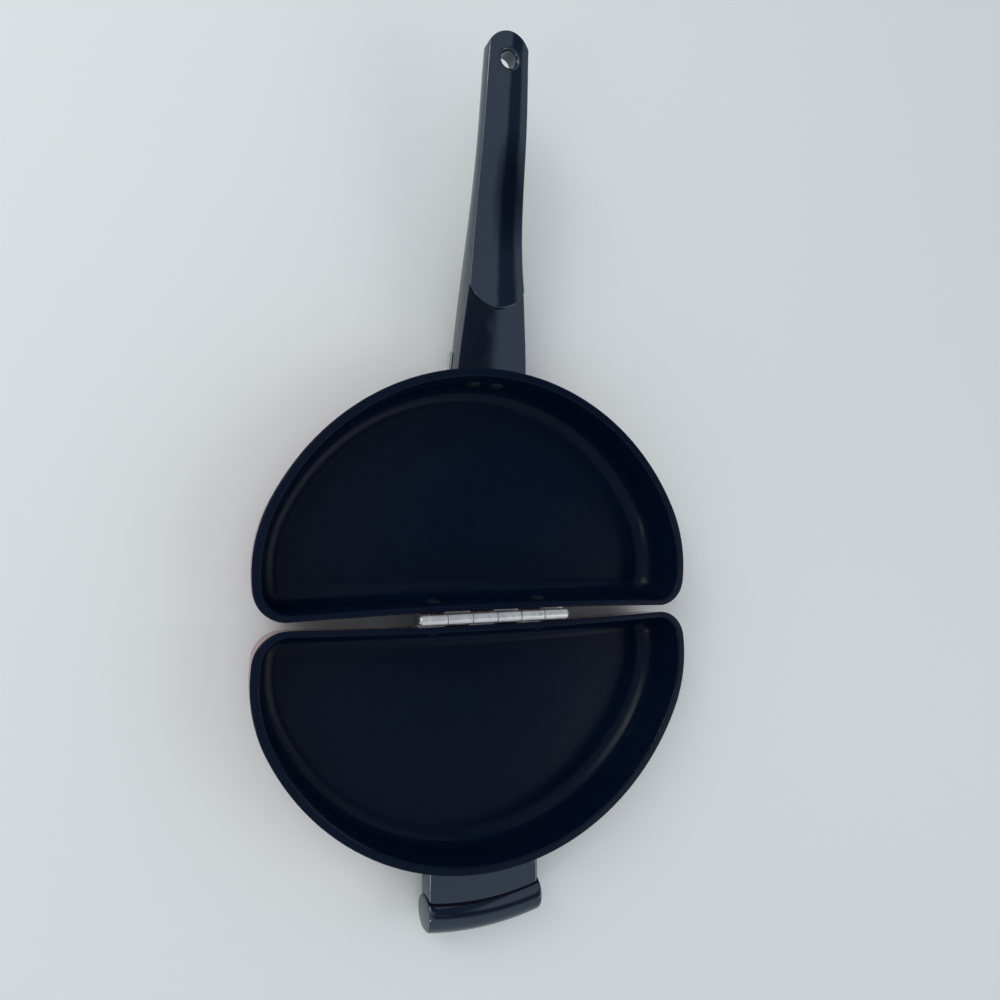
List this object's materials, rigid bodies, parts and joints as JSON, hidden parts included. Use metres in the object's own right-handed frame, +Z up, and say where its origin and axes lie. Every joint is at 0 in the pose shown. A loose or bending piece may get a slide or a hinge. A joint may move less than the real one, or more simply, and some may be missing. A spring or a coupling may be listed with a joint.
{
  "type": "folding double-sided frying pan",
  "caption": "Two D-shaped non-stick pan halves on a rolled butt hinge, lying open, with a long handle on one half and a short grab handle on the other.",
  "frame": {"origin": "centre of the raised base pad of the half that carries the long handle, on the surface it stands on", "axes": "+Y from the hinge towards the tip of the long handle, +X along the hinge, +Z up, pan lying open"},
  "size_m": [0.2402, 0.4601, 0.0501],
  "materials": {
    "coated_casting": "cast aluminium, black non-stick coating inside and on the rim, gloss burgundy lacquer outside",
    "coated_rivets": "aluminium rivets under the same coating",
    "hinge_steel": "rolled stainless strip, satin",
    "phenolic": "moulded phenolic, polished black",
    "bracket_steel": "pressed stainless sheet, polished",
    "screw_steel": "zinc-plated steel",
    "insert_brass": "turned brass"
  },
  "bodies": {
    "handle_half": {"handle_side_pan": "coated_casting", "handle_side_leaf": "hinge_steel", "handle_side_leaf_rivets": "coated_rivets", "hinge_pin": "hinge_steel", "long_handle": "phenolic", "handle_bracket": "bracket_steel", "bracket_rivets": "coated_rivets", "handle_screw": "screw_steel", "handle_washer": "screw_steel", "handle_insert": "insert_brass"},
    "folding_half": {"folding_side_pan": "coated_casting", "folding_side_leaf": "hinge_steel", "folding_side_leaf_rivets": "coated_rivets", "helper_handle": "phenolic", "helper_screws": "screw_steel", "helper_washers": "screw_steel"}
  },
  "joints": [
    {"name": "fold", "type": "hinge", "parent": "handle_half", "child": "folding_half", "pos_m": [0, -0.06605, 0.03215], "axis": [-1, 0, 0], "range_deg": [0, 180]}
  ]
}
